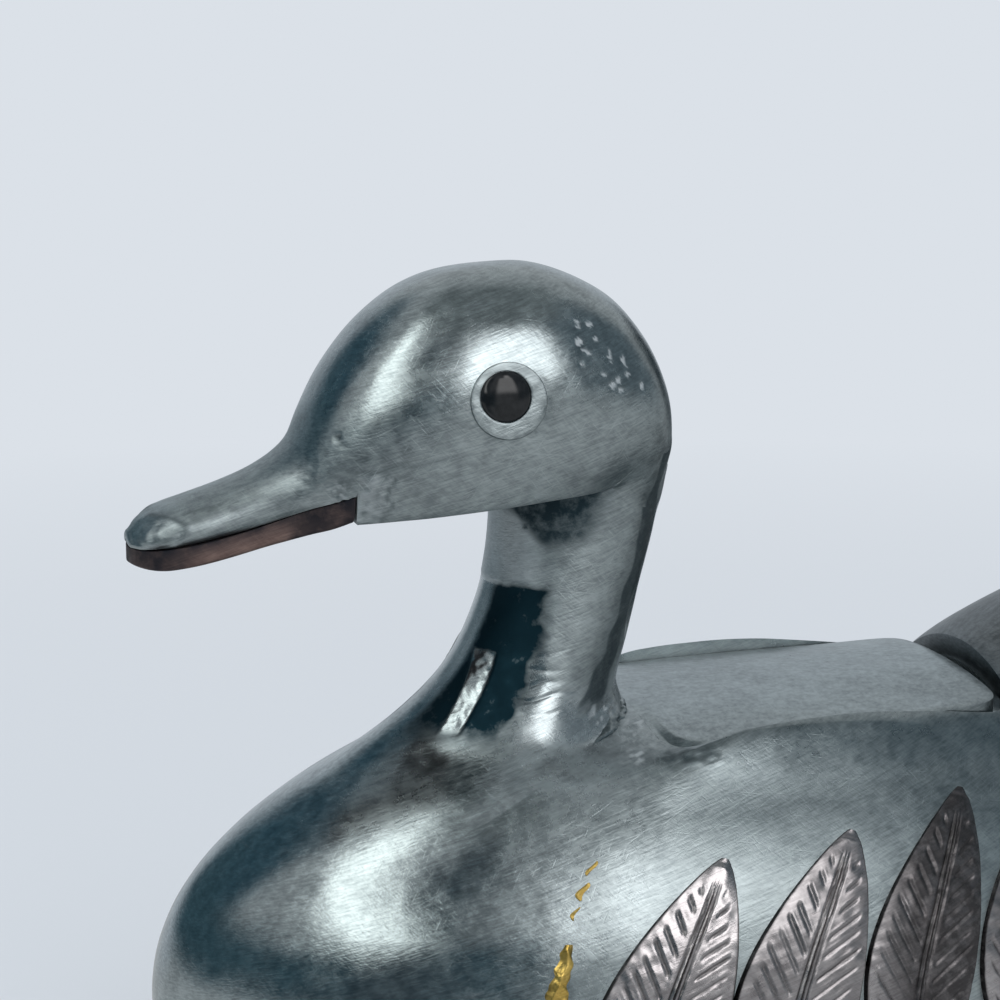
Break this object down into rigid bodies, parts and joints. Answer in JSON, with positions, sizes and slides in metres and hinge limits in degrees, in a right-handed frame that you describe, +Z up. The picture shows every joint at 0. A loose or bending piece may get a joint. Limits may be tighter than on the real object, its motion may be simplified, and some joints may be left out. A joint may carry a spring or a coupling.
{
  "type": "duck trinket box",
  "caption": "Cast pewter box in the shape of a sitting duck, with copper leaf feathers, glass eyes and a lift-off lid set in its back.",
  "frame": {"origin": "on the table, in the underside of the base plate, below the body", "axes": "the duck looks along -X, its left side is -Y, +Z is up"},
  "size_m": [0.1451, 0.0758, 0.1249],
  "materials": {
    "pewter": "satin, aged and scratched",
    "dark_pewter": "darkened satin",
    "feather_copper": "darkened copper, chased",
    "bill_copper": "browned copper",
    "braze": "rough as run",
    "eye_glass": "glossy black"
  },
  "bodies": {
    "duck": {"front_body": "pewter", "rear_body": "pewter", "base_plate": "pewter", "neck": "pewter", "head": "pewter", "lower_bill": "bill_copper", "eye_ring_left": "pewter", "eye_ring_right": "pewter", "eye_left": "eye_glass", "eye_right": "eye_glass", "tail": "dark_pewter", "lid_ledge": "pewter", "feather_left_1": "feather_copper", "feather_left_2": "feather_copper", "feather_left_3": "feather_copper", "feather_left_4": "feather_copper", "feather_left_5": "feather_copper", "feather_right_1": "feather_copper", "feather_right_2": "feather_copper", "feather_right_3": "feather_copper", "feather_right_4": "feather_copper", "feather_right_5": "feather_copper", "seam_braze_left": "braze", "seam_braze_right": "braze"},
    "lift_off_lid": {"lid": "pewter", "lid_flange": "pewter"}
  },
  "joints": [
    {"name": "lid_lift", "type": "slide", "parent": "duck", "child": "lift_off_lid", "axis": [0.2079, 0, 0.9781], "range_m": [0, 0.06]}
  ]
}
